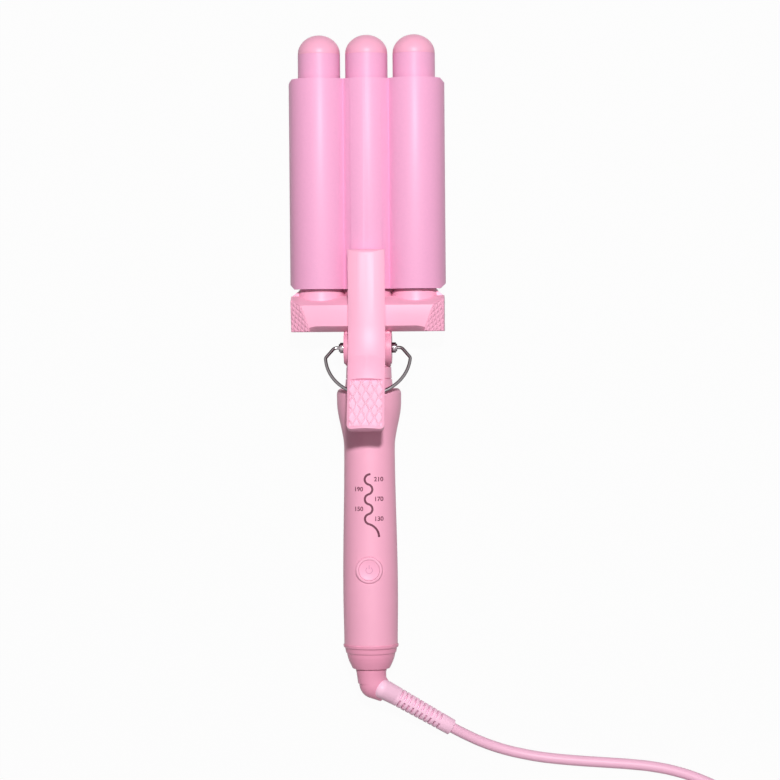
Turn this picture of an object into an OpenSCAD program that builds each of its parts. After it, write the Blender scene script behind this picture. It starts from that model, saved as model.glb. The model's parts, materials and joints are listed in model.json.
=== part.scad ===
// Hair waver with three heated barrels, a sprung clamp plate, a wire stand,
// a pull-off head, a power button and a mains lead on a swivel.
// It lies on its back: +Y runs towards the barrel tips and +Z towards the clamp.
// The origin is the middle of the flat back of the crosspiece.

/* [Barrels] */
// Diameter of each barrel
barrel_d = 25; // [22:0.5:26]
// Distance between the axes of neighbouring barrels
barrel_pitch = 28; // [27.5:0.5:30]
// Height of the barrel and handle axis above the rest face
axis_z = 19; // [18.5:0.1:20]
// Seam between barrel and domed tip
tip_seam_y = 153; // [140:1:170]
// Height of the domed tip above its seam
tip_h = 11.5; // [10:0.5:14]
// Wall of the barrel tube
barrel_wall = 1.1; // [0.8:0.1:1.6]

/* [Clamp plate] */
// Outer radius of the plate's middle lobe
lobe_r = 16.9; // [16.5:0.1:17.5]
// Outer radius of the plate's two side lobes
side_lobe_r = 18; // [17:0.1:18.2]
// Rounding of the lower corners of the plate's side walls
plate_corner_r = 5; // [3:0.5:6]
// Wall of the plate
plate_wall = 2.2; // [1.6:0.1:2.4]
// Edge of the plate nearest the crosspiece
plate_y0 = 14.6; // [14.4:0.1:16]
// Length of the plate
plate_len = 124.5; // [100:0.5:126]
// Half width of the raised band along the middle lobe
band_half = 9.25; // [7:0.25:10]
// Height of the raised band
band_rise = 0.8; // [0.4:0.1:1]

/* [Crosspiece] */
// Width of the crosspiece
cross_w = 90; // [88:1:94]
// Depth of the crosspiece along the barrels
cross_l = 21; // [20:0.5:24]
// Outer radius of the boss round each barrel
boss_r = 13.9; // [13.7:0.1:13.9]
// End of the bosses above the middle of the crosspiece
boss_y = 13.4; // [12.5:0.1:14]

/* [Hinge] */
// Distance of the hinge pin behind the middle of the crosspiece
pivot_y = -20; // [-21:0.5:-19.5]
// Height of the hinge pin above the rest face
pivot_z = 26; // [25.5:0.1:26.5]
// Radius of the hinge pin
pin_r = 2; // [1.8:0.1:2.2]
// Radius of the hinge cheeks
cheek_r = 10.3; // [9.5:0.1:10.5]
// Half width over the hinge cheeks
cheek_half = 14; // [13.5:0.25:15]

/* [Lever] */
// Width of the lever
lever_w = 21.7; // [20:0.1:22]
// Thickness of the lever along its middle
lever_t = 5.2; // [4.6:0.1:6]
// Slope of the thumb end
lever_slope = 25; // [24:1:27]
// Front end of the lever on the plate
lever_front_y = 37.5; // [32:0.5:44]
// Far end of the thumb pad
lever_end_y = -68; // [-72:1:-66]

/* [Handle] */
// Mouth of the handle
mouth_y = -44.1; // [-44.4:0.1:-44.1]
// Radius of the flared rim
rim_r = 19; // [18.5:0.1:19]
// Radius of the waist behind the flare
waist_r = 15; // [14.5:0.1:15.5]
// Swelling of the grip over the waist
grip_swell = 1.2; // [0.8:0.1:1.5]
// Far end of the shells
shell_end_y = -195.5; // [-200:0.5:-194]
// Wall of the shells
shell_wall = 2.2; // [2:0.1:2.4]
// Distance of the power button behind the middle of the crosspiece
button_y = -150.5; // [-156:0.5:-146]

/* [Lead] */
// Diameter of the mains lead
cord_d = 6.4; // [6:0.1:6.4]
// Mean radius of the stored coil
coil_mid_r = 38.4; // [36:0.1:38.4]

/* [Hidden] */
$fn = 96;

gloss_pink = "#f5b5d8";
satin_pink = "#fbbdd6";
handle_pink = "#f0adc8";
cord_pink = "#f2bcd6";
plug_white = "#f2efec";
chrome = "#b9b9bd";
brass = "#c9a227";

barrel_r = barrel_d / 2;
barrel_y0 = 1;
plate_gap_r = lobe_r - plate_wall;
band_r = lobe_r + band_rise;
cross_top = 2 * axis_z;
cross_half_l = cross_l / 2;
running = 0.06;
small = 0.01;
reach = 300;

// ---- helpers ----

// Round bar along Y
module rod_y(r, y0, y1, x = 0, z = axis_z) {
    translate([x, y0, z]) rotate([-90, 0, 0]) cylinder(r = r, h = y1 - y0);
}

// Round bar along X, on the hinge axis unless y and z are given
module rod_x(r, x0, x1, y = pivot_y, z = pivot_z) {
    translate([x0, y, z]) rotate([0, 90, 0]) cylinder(r = r, h = x1 - x0);
}

// Turned shape about the handle's axis, from a profile of [radius, y] points
module turned_y(points) {
    translate([0, 0, axis_z]) rotate([-90, 0, 0]) rotate_extrude() polygon(points);
}

// Box from its two corners
module block(low, high) {
    translate(low) cube(high - low);
}

function unit(v) = v / norm(v);
function ease(t) = let (u = min(max(t, 0), 1)) u * u * (3 - 2 * u);

// Tube of a given radius along a route, with flat ends
function route_dir(p, i) = unit(p[min(i + 1, len(p) - 1)] - p[max(i - 1, 0)]);
function tube_ring(p, i, r, sides, ref) =
    let (t = route_dir(p, i), u = unit(cross(t, ref)), v = cross(u, t))
    [for (k = [0 : sides - 1]) p[i] + r * (cos(360 * k / sides) * u + sin(360 * k / sides) * v)];
module tube_along(p, r, sides, ref = [0, 0, 1]) {
    rings = len(p);
    points = [for (i = [0 : rings - 1]) each tube_ring(p, i, r, sides, ref)];
    walls = [for (i = [0 : rings - 2], k = [0 : sides - 1])
        let (a = i * sides + k, b = i * sides + (k + 1) % sides)
        each [[a, b, b + sides], [a, b + sides, a + sides]]];
    first = [for (k = [0 : sides - 1]) sides - 1 - k];
    last = [for (k = [0 : sides - 1]) (rings - 1) * sides + k];
    polyhedron(points, concat(walls, [first, last]));
}

// ---- handle ----

// Outer radius of the handle at a distance y along it
function handle_r(y) =
    rim_r - (rim_r - waist_r) * ease((-y - 52) / 27)
    + grip_swell * ease((-y - 80) / 80) - 0.35 * ease((-y - 168) / 27);
grip_steps = [for (y = [-50 : -3 : -194]) y];
rim_edge = [[17.2, mouth_y], [18.2, mouth_y - 0.7], [18.75, mouth_y - 1.7], [rim_r, mouth_y - 3.2]];
handle_outline = concat(rim_edge, [for (y = grip_steps) [handle_r(y), y]],
    [[handle_r(shell_end_y), shell_end_y]]);
liner_seat_r = 16.2;
handle_cavity = concat([[liner_seat_r, mouth_y + 1], [liner_seat_r, -52]],
    [for (y = [-55 : -3 : -193]) [handle_r(y) - shell_wall, y]],
    [[handle_r(shell_end_y) - shell_wall, shell_end_y - 1]]);

module handle_body() {
    difference() {
        turned_y(concat([[0, mouth_y]], handle_outline, [[0, shell_end_y]]));
        turned_y(concat([[0, mouth_y + 1]], handle_cavity, [[0, shell_end_y - 1]]));
    }
}
handle_screw_y = [-84, -176];
bezel_r = 8;
bezel_low = 30.4;

module handle_front_shell() {
    color(handle_pink) difference() {
        union() {
            intersection() {
                handle_body();
                block([-30, -reach, axis_z], [30, 0, 60]);
            }
            for (y = handle_screw_y) intersection() {
                translate([0, y, axis_z + 8]) cylinder(r = 3, h = 8);
                turned_y([[0, -50], [waist_r - 0.8, -50], [waist_r - 0.8, -194], [0, -194]]);
            }
        }
        translate([0, button_y, bezel_low - 5]) cylinder(r = bezel_r + small, h = 20);
        for (y = handle_screw_y) translate([0, y, axis_z]) cylinder(r = 1.3, h = 13);
    }
}

rail_x = 10.8;
board_z = 22.4;
board_half = 11.5;
board_y0 = -181;
board_y1 = -92;
module handle_back_shell() {
    color(handle_pink) difference() {
        union() {
            intersection() {
                handle_body();
                block([-30, -reach, -10], [30, 0, axis_z]);
            }
            for (s = [-1, 1]) intersection() {
                block([s * rail_x - 0.8, board_y0, 8], [s * rail_x + 0.8, board_y1, board_z]);
                turned_y([[0, board_y1 + 1], [waist_r - 1.4, board_y1 + 1],
                    [waist_r - 1.4, board_y0 - 1], [0, board_y0 - 1]]);
            }
            for (y = handle_screw_y) intersection() {
                translate([0, y, 2.5]) {
                    cylinder(r = 4, h = 6.5);
                    cylinder(r = 2.9, h = axis_z + 2.5);
                }
                turned_y([[0, -50], [waist_r - 0.5, -50], [waist_r - 0.5, -194], [0, -194]]);
            }
        }
        for (y = handle_screw_y) {
            translate([0, y, 0]) cylinder(r = 2.8, h = 7);
            translate([0, y, 0]) cylinder(r = 1.5, h = 30);
        }
    }
}

module handle_screws() {
    color(chrome) for (y = handle_screw_y) difference() {
        union() {
            translate([0, y, 5]) cylinder(r = 2.6, h = 2);
            translate([0, y, 7 - small]) cylinder(r = 1.25, h = 23);
        }
        for (a = [0, 90]) translate([0, y, 5]) rotate([0, 0, a]) cube([3.2, 0.7, 2], center = true);
    }
}

stem_r = 9.15;
module end_ring() {
    color(handle_pink) difference() {
        turned_y([[0, -190], [13, -190], [13, shell_end_y], [15.7, shell_end_y - small],
            [15.5, -197], [14.7, -197.6], [14.3, -200.2], [13.7, -200.8], [13.3, -203],
            [12.5, -205.5], [11.4, -208], [10.5, -209.8], [0, -209.8]]);
        rod_y(stem_r + running, -220, -180);
    }
}

module swivel_retainer() {
    color(plug_white) difference() {
        rod_y(13, -186.9, -183);
        rod_y(7, -188, -180);
    }
}

// ---- socket for the head ----

plug_r = 9.5;
plug_end_y = -62;
contact_pcr = 5.5;
contact_angles = [45, 135, 225, 315];
module at_contacts() {
    for (a = contact_angles) translate([contact_pcr * cos(a), 0, contact_pcr * sin(a)]) children();
}

module socket_liner() {
    color(plug_white) difference() {
        turned_y([[0, mouth_y - 0.4], [liner_seat_r - small, mouth_y - 0.4], [liner_seat_r - small, -51.8],
            [14.8, -53], [14.8, -64], [0, -64]]);
        rod_y(plug_r + 0.08, plug_end_y - 0.3, -40);
        at_contacts() rod_y(1.08, -66, -60);
    }
}

module contact_block() {
    color("#3b3b3f") difference() {
        rod_y(12.6, -75, -64);
        at_contacts() rod_y(1.9, -76, -60);
    }
}

module socket_contacts() {
    color(brass) at_contacts() difference() {
        rod_y(1.9, -78, -64);
        rod_y(1.06, -73, -60);
    }
}

lead_r = 0.9;
module heater_leads() {
    color("#d9d4c8") for (a = [45, 135]) {
        x = contact_pcr * cos(a);
        for (s = [-1, 1]) rod_y(lead_r, board_y1, -78, x, axis_z + s * contact_pcr * sin(a));
    }
}

// ---- electronics ----

module circuit_board() {
    color("#2f6b46") difference() {
        block([-board_half, board_y0, board_z], [board_half, board_y1, board_z + 1.6]);
        for (y = handle_screw_y) translate([0, y, 20]) cylinder(r = 4.4, h = 8);
    }
}

module tact_switch() {
    board_top = board_z + 1.6;
    color("#3b3b3f") {
        block([-3, button_y - 3, board_top], [3, button_y + 3, board_top + 3.4]);
        translate([0, button_y, board_top + 3.3]) cylinder(r = 1.75, h = 0.6);
    }
}

// Print of the heat scale: bends of its wavy line, which the lamps light from inside
scale_y = [-99, -105, -111, -117, -123];
module indicator_leds() {
    board_top = board_z + 1.6;
    color("#f7f2e0") for (i = [0 : len(scale_y) - 1]) {
        side = i % 2 == 0 ? 3.5 : -3.5;
        block([side - 1, scale_y[i] - 0.6, board_top], [side + 1, scale_y[i] + 0.6, board_top + 1]);
    }
}

module power_leads() {
    color("#7a4f3a") for (x = [-2.4, 2.4]) rod_y(lead_r, -189, board_y0, x, axis_z + 1.4);
}

// ---- power button ----

button_r = 6;
button_top = 35.4;
button_travel = 1;
module button_bezel() {
    color(handle_pink) translate([0, button_y, 0]) difference() {
        union() {
            translate([0, 0, bezel_low]) cylinder(r = bezel_r, h = 4.6);
            translate([0, 0, bezel_low + 4.6]) cylinder(r1 = bezel_r, r2 = bezel_r - 0.6, h = 0.7);
        }
        cylinder(r = button_r + 0.1, h = 50);
    }
}

module power_button() {
    switch_top = board_z + 1.6 + 3.9;
    color(satin_pink) translate([0, button_y, 0]) difference() {
        union() {
            translate([0, 0, bezel_low - 1]) cylinder(r = button_r, h = button_top - bezel_low + 1);
            translate([0, 0, bezel_low - 1.2]) cylinder(r = button_r + 1, h = 1.1);
            translate([0, 0, switch_top + button_travel + 0.05])
                cylinder(r = 2, h = bezel_low - switch_top - 1.1);
        }
        translate([0, 0, button_top + 27.2]) sphere(r = 28);
    }
}

// ---- crosspiece of the head ----

facet_x_top = 38.5;
facet_x_low = 33.5;
facet_slope = 38;
top_bevel_y = 5;
low_bevel_leg = 3.3;
low_bevel_x = 30;
low_bevel_end_x = 44.6;

// Upper bevel, towards the barrels, on the front or the back
module top_bevel(front) {
    drop = (cross_half_l - top_bevel_y) * 1.98;
    z0 = front ? cross_top : 0;
    s = front ? 1 : -1;
    rotate([90, 0, 90]) linear_extrude(height = 2 * cross_w, center = true)
        polygon([[top_bevel_y, z0], [cross_half_l + small, z0 - s * drop],
            [cross_half_l + 5, z0 - s * drop], [cross_half_l + 5, z0 + s * 5], [top_bevel_y, z0 + s * 5]]);
}

// Bevel along the lower edge, even in the middle and tapering out at both ends
module low_bevel(front) {
    s = front ? 1 : -1;
    z0 = front ? cross_top : 0;
    depth = low_bevel_leg / sqrt(2);
    translate([0, -cross_half_l + low_bevel_leg / 2, z0 - s * low_bevel_leg / 2]) rotate([135 * s, 0, 0])
        linear_extrude(height = 30, center = true)
        polygon([[-low_bevel_x, 0], [low_bevel_x, 0], [low_bevel_end_x, depth], [low_bevel_end_x, 10],
            [-low_bevel_end_x, 10], [-low_bevel_end_x, depth]]);
}

// Slanted facet at each end, wider towards the handle
module end_facet(side, front) {
    s = front ? 1 : -1;
    z0 = front ? cross_top : 0;
    lean = atan((facet_x_top - facet_x_low) / 14);
    translate([side * (facet_x_top + facet_x_low) / 2, -2, z0])
        rotate([0, 0, -side * lean])
        rotate([0, side * s * facet_slope, 0])
        translate([-20, -30, s > 0 ? 0 : -20]) cube([40, 60, 20]);
}

module crosspiece_solid() {
    difference() {
        block([-cross_w / 2, -cross_half_l, 0], [cross_w / 2, cross_half_l, cross_top]);
        for (front = [true, false]) {
            top_bevel(front);
            low_bevel(front);
            for (side = [-1, 1]) end_facet(side, front);
        }
    }
    for (i = [-1 : 1]) translate([i * barrel_pitch, 0, axis_z]) rotate([-90, 0, 0]) rotate_extrude()
        polygon([[0, 0], [boss_r, 0], [boss_r, boss_y - 0.6], [boss_r - 0.5, boss_y], [0, boss_y]]);
    for (s = [0, 1]) mirror([s, 0, 0]) corner_web();
}

// Web between an outer boss and the corner of the crosspiece
module corner_web() {
    half = 6;
    x = barrel_pitch + boss_r;
    translate([0, 0, axis_z - half]) linear_extrude(height = 2 * half)
        polygon([[x - 3, 9], [x + 2.5, 9], [x + 2.5, cross_half_l + 0.3], [x - 0.5, boss_y - 0.3], [x - 3, boss_y - 0.3]]);
}

cross_screws = [[-37, -4.5], [37, -4.5]];
module crosspiece_hollow() {
    for (i = [-1 : 1]) {
        rod_y(collar_r, barrel_y0, boss_y + 1, i * barrel_pitch);
        rod_y(8, -2, barrel_y0 + small, i * barrel_pitch);
    }
    difference() {
        block([-41, -8, 5], [41, -1.5, 33]);
        for (p = cross_screws) translate([p[0], p[1], 0]) cylinder(r = 3.3, h = 40);
    }
    rod_y(channel_r, -12, -7, 0, channel_z);
}

module crosspiece_half(front) {
    difference() {
        intersection() {
            crosspiece_solid();
            block([-60, -20, front ? axis_z : -1], [60, 20, front ? 60 : axis_z]);
        }
        crosspiece_hollow();
        for (p = cross_screws) {
            translate([p[0], p[1], -1]) cylinder(r = 2.6, h = 5);
            translate([p[0], p[1], -1]) cylinder(r = front ? 1.25 : 1.4, h = 31);
        }
    }
}
module crosspiece_front() { color(satin_pink) crosspiece_half(true); }
module crosspiece_back() { color(satin_pink) crosspiece_half(false); }

module head_screws() {
    color(chrome) for (p = cross_screws) translate([p[0], p[1], 0]) difference() {
        union() {
            translate([0, 0, 2.2]) cylinder(r = 2.5, h = 1.8);
            translate([0, 0, 4 - small]) cylinder(r = 1.24, h = 24);
        }
        for (a = [0, 90]) translate([0, 0, 2.2]) rotate([0, 0, a]) cube([3, 0.6, 1.6], center = true);
    }
}

// ---- barrels ----

collar_r = barrel_r + 0.7;
module barrel(i) {
    color(gloss_pink) difference() {
        rod_y(barrel_r, barrel_y0, tip_seam_y, i * barrel_pitch);
        rod_y(barrel_r - barrel_wall, barrel_y0 - 1, tip_seam_y + 1, i * barrel_pitch);
    }
}

dome_r = 9.2;
module barrel_tip(i) {
    flat = barrel_r - dome_r;
    dome_y = tip_h - dome_r;
    color(satin_pink) translate([i * barrel_pitch, tip_seam_y, axis_z]) rotate([-90, 0, 0]) rotate_extrude() {
        square([barrel_r, dome_y]);
        translate([0, -6]) square([barrel_r - barrel_wall - 0.05, 6 + small]);
        intersection() {
            union() {
                translate([flat, dome_y]) circle(r = dome_r);
                translate([0, dome_y - small]) square([flat, dome_r - 0.25]);
            }
            translate([0, tip_h - 28]) circle(r = 28);
            translate([0, dome_y - small]) square([barrel_r, 20]);
        }
    }
}

module heat_collar(i) {
    color(satin_pink) difference() {
        rod_y(collar_r - 0.02, barrel_y0, boss_y + 0.7, i * barrel_pitch);
        rod_y(barrel_r + 0.01, barrel_y0 - 1, boss_y + 2, i * barrel_pitch);
    }
}

module heater(i) {
    color("#cfcfd2") translate([i * barrel_pitch, 0, axis_z]) difference() {
        intersection() {
            rod_y(barrel_r - barrel_wall - 0.05, 8, 140, 0, 0);
            block([-8, 8, -12], [8, 140, 12]);
        }
        block([-12, 7, -1.6], [12, 141, 1.6]);
        for (s = [-1, 1]) block([-5, 7, s * 6.2 - 2.4], [5, 141, s * 6.2 + 2.4]);
    }
    color("#e9e4d6") block([i * barrel_pitch - 7, 12, axis_z - 1.5], [i * barrel_pitch + 7, 136, axis_z + 1.5]);
}

wire_y = -4.8;
module head_wiring() {
    color("#d9d4c8") for (s = [-1, 1]) {
        z = s > 0 ? 16.3 : 13.9;
        rod_y(lead_r, -38.1, wire_y, 0, z);
        translate([0, wire_y, z]) sphere(r = lead_r);
        rod_x(lead_r, -barrel_pitch, barrel_pitch, wire_y, z);
        for (i = [-1 : 1]) {
            translate([i * barrel_pitch, wire_y, z]) sphere(r = lead_r);
            translate([i * barrel_pitch, wire_y, z]) cylinder(r = lead_r, h = axis_z + 4 * s - z);
            translate([i * barrel_pitch, wire_y, axis_z + 4 * s]) sphere(r = lead_r);
            rod_y(lead_r, wire_y, 8, i * barrel_pitch, axis_z + 4 * s);
        }
    }
}

// ---- neck, collar and plug of the head ----

neck_r = 13.25;
neck_end_y = -31;
slot_half = 9.9;
slot_floor = 19.5;
channel_r = 4.5;
channel_z = 13;
module hinge_neck() {
    color(satin_pink) difference() {
        union() {
            rod_y(neck_r, neck_end_y, -cross_half_l);
            rod_x(cheek_r - 0.8, -cheek_half, cheek_half);
            rod_x(cheek_r, -cheek_half + 0.8, cheek_half - 0.8);
            block([-cheek_half + 0.8, pivot_y, 12], [cheek_half - 0.8, -cross_half_l, pivot_z + 6]);
        }
        block([-slot_half, -40, slot_floor], [slot_half, 0, 60]);
        block([-30, -cross_half_l, 0], [30, 10, 60]);
        rod_x(pin_r + 0.01, -30, 30);
        rod_y(channel_r, -40, 0, 0, channel_z);
    }
}

module locking_collar() {
    groove_y = -38.3;
    color(satin_pink) difference() {
        turned_y([[0, neck_end_y], [12.6, neck_end_y], [13.3, neck_end_y - 0.7], [13.4, -35.5],
            [13.6, groove_y + 0.35], [13, groove_y + 0.15], [13, groove_y - 0.15], [13.7, groove_y - 0.35],
            [14.1, -42.5], [13.8, -44], [0, -44]]);
        rod_y(plug_r + 0.02, -50, -38);
        rod_y(7, -50, -20);
        translate([9.6, -34.5, axis_z + 9.4]) rotate([0, 45, 0])
            linear_extrude(height = 6, center = true) polygon([[0, 1.8], [1.2, -1.4], [-0.7, -1.4]]);
    }
}

module plug_body() {
    color(plug_white) difference() {
        union() {
            rod_y(plug_r, plug_end_y + 0.8, -38.1);
            translate([0, plug_end_y, axis_z]) rotate([-90, 0, 0]) cylinder(r1 = plug_r - 0.8, r2 = plug_r, h = 0.8);
        }
        at_contacts() rod_y(1.01, -65, -44);
        for (a = [0, 90]) translate([0, plug_end_y, axis_z]) rotate([0, a, 0])
            cube([2 * contact_pcr - 5, 6, 0.9], center = true);
    }
}

module plug_pins() {
    color(brass) at_contacts() {
        rod_y(1, -67.2, -44);
        translate([0, -67.2, axis_z]) sphere(r = 1);
    }
}

// ---- hinge ----

bush_half = 17.2;
wire_r = 1;
module hinge_pin() {
    color(chrome) difference() {
        rod_x(pin_r, -cheek_half, cheek_half);
        for (s = [0, 1]) mirror([s, 0, 0]) rod_x(wire_r + 0.05, 6, 20);
    }
}

module hinge_bushes() {
    color("#8a8a90") for (s = [0, 1]) mirror([s, 0, 0]) difference() {
        union() {
            rod_x(3.1, cheek_half, bush_half - 0.7);
            rod_x(2.3, cheek_half, bush_half);
        }
        rod_x(wire_r + 0.05, cheek_half - 1, 20);
    }
}

spring_r = 4;
spring_wire_r = 0.55;
spring_half = 4;
spring_steps = 80;
spring_start_a = 201;
spring_end_a = 5 * 360 + 270;
// Route of the torsion spring: upper leg under the lever, coils round the pin, lower leg on the slot's floor
spring_route = concat(
    [[-spring_half, pivot_y - 11, pivot_z + 18]],
    [for (i = [0 : spring_steps])
        let (t = i / spring_steps, a = spring_start_a + (spring_end_a - spring_start_a) * t)
        [spring_half * (2 * t - 1), pivot_y + spring_r * cos(a), pivot_z + spring_r * sin(a)]],
    [[spring_half, pivot_y + 8.5, slot_floor + spring_wire_r + 0.3]]);
module clamp_spring() {
    color(chrome) tube_along(spring_route, spring_wire_r, 6, [1, 0, 0]);
}

// ---- clamp ----

// Lower edge of the plate
plate_low_z = axis_z + 1;

// The three lobes in section, with a wall taken off
module lobes(wall) {
    translate([0, axis_z]) circle(r = lobe_r - wall);
    for (s = [-1, 1]) translate([s * barrel_pitch, axis_z]) circle(r = side_lobe_r - wall);
}

// What is cut from the lower corners of a side wall at one end; dir points into the plate
module plate_corner(y, dir) {
    rotate([90, 0, 90]) linear_extrude(height = 30) difference() {
        translate([y - (dir > 0 ? 1 : plate_corner_r), plate_low_z - 1])
            square([plate_corner_r + 1, plate_corner_r + 1]);
        translate([y + dir * plate_corner_r, plate_low_z + plate_corner_r]) circle(r = plate_corner_r);
    }
}

module clamp_plate() {
    plate_end_y = plate_y0 + plate_len;
    color(gloss_pink) difference() {
        translate([0, plate_end_y, 0]) rotate([90, 0, 0]) linear_extrude(height = plate_len) difference() {
            union() {
                lobes(0);
                intersection() {
                    translate([0, axis_z]) circle(r = band_r);
                    translate([-band_half, axis_z]) square([2 * band_half, 30]);
                }
            }
            lobes(plate_wall);
            translate([-60, -20]) square([120, plate_low_z + 20]);
        }
        for (y = clamp_screw_y) translate([0, y, axis_z]) cylinder(r = 1.3, h = 30);
        for (s = [0, 1]) mirror([s, 0, 0]) translate([barrel_pitch + 5, 0, 0]) {
            plate_corner(plate_y0, 1);
            plate_corner(plate_end_y, -1);
        }
    }
}

under_z = cross_top + 0.8;
bend_y = -6;
bend_r = 52;
bend_end_y = bend_y - bend_r * sin(lever_slope);
bend_end_z = under_z + bend_r * (1 - cos(lever_slope));
slope_len = (bend_end_y - lever_end_y) / cos(lever_slope);
// The thumb end laps over the end of the bend and is a hair larger, so that the two join cleanly
slope_lap = 0.5;
slope_grow = 0.02;
lever_edge_drop = 2.6;
lever_nose_r = 3.6;
crown_r = (pow(lever_w / 2, 2) + pow(lever_edge_drop, 2)) / (2 * lever_edge_drop);

// Crowned section of the lever, grown evenly all round: x across, y up from its underside
module lever_section(grow = 0) {
    edge_r = 1;
    intersection() {
        union() {
            translate([-lever_w / 2 - grow, edge_r]) square([lever_w + 2 * grow, lever_t - edge_r]);
            translate([-lever_w / 2 + edge_r, -grow]) square([lever_w - 2 * edge_r, lever_t]);
            for (s = [-1, 1]) translate([s * (lever_w / 2 - edge_r), edge_r]) circle(r = edge_r + grow);
        }
        translate([0, lever_t - crown_r]) circle(r = crown_r + grow);
    }
}

// Frame at the start of the sloping thumb end: y runs back along the slope
module on_slope() {
    translate([0, bend_end_y, bend_end_z]) rotate([-lever_slope, 0, 0]) children();
}

pad_half = 9.45;
pad_start = 13;
pad_len = slope_len - pad_start - 1.7;
pad_depth = 1.4;
// The flat pad lies level with the crowned lever along its two sides
pad_top = lever_t - crown_r + sqrt(pow(crown_r, 2) - pow(pad_half, 2));
end_corner_r = 3;
module lever_plan_end() {
    difference() {
        translate([-lever_w / 2 - 1, -slope_len - 1]) square([lever_w + 2, end_corner_r + 1]);
        for (s = [-1, 1]) translate([s * (lever_w / 2 - end_corner_r), -slope_len + end_corner_r])
            circle(r = end_corner_r);
        translate([-lever_w / 2 + end_corner_r, -slope_len]) square([lever_w - 2 * end_corner_r, 20]);
    }
}

module lever_ears() {
    for (s = [0, 1]) mirror([s, 0, 0]) translate([5.6, 0, 0]) rotate([90, 0, 90])
        linear_extrude(height = 4) {
            translate([pivot_y, pivot_z]) circle(r = 5);
            polygon([[pivot_y + 5, pivot_z], [pivot_y + 8.4, under_z + 0.5], [-29.5, under_z + 5.5],
                [pivot_y - 4.9, pivot_z + 1]]);
        }
}

// What is cut away to round the front of the lever
module lever_nose() {
    y = lever_front_y - lever_nose_r;
    z = under_z + lever_t - lever_nose_r;
    difference() {
        block([-20, y, z], [20, lever_front_y + 1, z + 10]);
        rod_x(lever_nose_r, -21, 21, y, z);
    }
}

module thumb_lever() {
    color(satin_pink) difference() {
        union() {
            translate([0, lever_front_y, under_z]) rotate([90, 0, 0])
                linear_extrude(height = lever_front_y - bend_y) lever_section();
            translate([0, bend_y, under_z + bend_r]) rotate([0, 90, 180])
                rotate_extrude(angle = lever_slope) translate([bend_r, 0]) rotate([0, 0, 90]) lever_section();
            on_slope() translate([0, slope_lap, 0]) rotate([90, 0, 0])
                linear_extrude(height = slope_len + slope_lap) lever_section(slope_grow);
            block([-8.5, 16, 30], [8.5, lever_front_y - 0.5, under_z + 1]);
            lever_ears();
        }
        rod_y(band_r, 0, 100);
        lever_nose();
        rod_x(pin_r + running, -30, 30);
        on_slope() translate([-pad_half - 0.05, -pad_start - pad_len - 0.05, pad_top - pad_depth])
            cube([2 * pad_half + 0.1, pad_len + 0.1, 10]);
        on_slope() translate([0, 0, -20]) linear_extrude(height = 60) lever_plan_end();
        for (y = clamp_screw_y) translate([0, y, 30]) cylinder(r = 1.25, h = 11);
    }
}

diamond_w = 5.1;
diamond_l = 8.8;
groove = 0.8;
module diamond_grooves() {
    lean = atan(diamond_l / diamond_w);
    step = diamond_w * sin(lean);
    for (s = [-1, 1], k = [-5 : 5]) rotate([0, 0, s * lean]) translate([0, k * step, 0])
        rotate([45, 0, 0]) cube([60, groove, groove], center = true);
}

module thumb_pad() {
    color(satin_pink) on_slope() difference() {
        translate([-pad_half, -pad_start - pad_len, pad_top - pad_depth])
            cube([2 * pad_half, pad_len, pad_depth]);
        translate([0, -pad_start - pad_len / 2, pad_top]) diamond_grooves();
    }
}

clamp_screw_y = [22, 31];
module clamp_screws() {
    low = axis_z + plate_gap_r;
    color(chrome) for (y = clamp_screw_y) {
        translate([0, y, low - 1.3]) cylinder(r1 = 1.9, r2 = 2.4, h = 1.05);
        translate([0, y, low - 0.3]) cylinder(r = 1.2, h = 6);
    }
}

// ---- wire stand ----

stand_tilt = 24.6;
stand_reach = 31.9;
stand_end_x = 6.6;
wire_sides = 12;
// Bends of half the loop, from its far middle round to the hinge: radius, heading reached, steps
far_bend = [14, 43, 8];
side_bend = [17, 90, 8];
corner_bend = [7, 180, 9];

// Points of a bend that starts at p with heading h0
function bend_points(p, bend, h0) = [for (k = [0 : bend[2]])
    let (h = h0 + (bend[1] - h0) * k / bend[2])
    p + bend[0] * [sin(h) - sin(h0), cos(h0) - cos(h)]];
function without_first(v) = [for (i = [1 : len(v) - 1]) v[i]];
far_points = bend_points([0, -stand_reach], far_bend, 0);
far_end = far_points[far_bend[2]];
// The straight bar is as long as it takes for the last bend to end on the hinge axis
bar_heading = far_bend[1];
bar_rise = -far_end[1] - side_bend[0] * cos(bar_heading) - corner_bend[0];
bar_end = far_end + [bar_rise / tan(bar_heading), bar_rise];
side_points = bend_points(bar_end, side_bend, bar_heading);
half_loop = concat(without_first(far_points), side_points,
    without_first(bend_points(side_points[side_bend[2]], corner_bend, side_bend[1])), [[stand_end_x, 0]]);
stand_route = concat(
    [for (i = [len(half_loop) - 1 : -1 : 0]) [-half_loop[i][0], half_loop[i][1], 0]],
    [[0, -stand_reach, 0]],
    [for (p = half_loop) [p[0], p[1], 0]]);

module wire_stand() {
    color(chrome) translate([0, pivot_y, pivot_z]) rotate([-stand_tilt, 0, 0])
        tube_along(stand_route, wire_r, wire_sides);
}

// ---- swivel and lead ----

elbow_c = [0.6, -217.6, axis_z];
relief_start = [6.5, -222, 18.4];
relief_end = [44.4, -245, 10.5];
relief_dir = unit(relief_end - relief_start);
relief_len = norm(relief_end - relief_start);
relief_seat = 2;

// Frame with z along the strain relief, from its start
module on_relief() {
    translate(relief_start) rotate([0, acos(relief_dir[2]), atan2(relief_dir[1], relief_dir[0])]) children();
}

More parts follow.
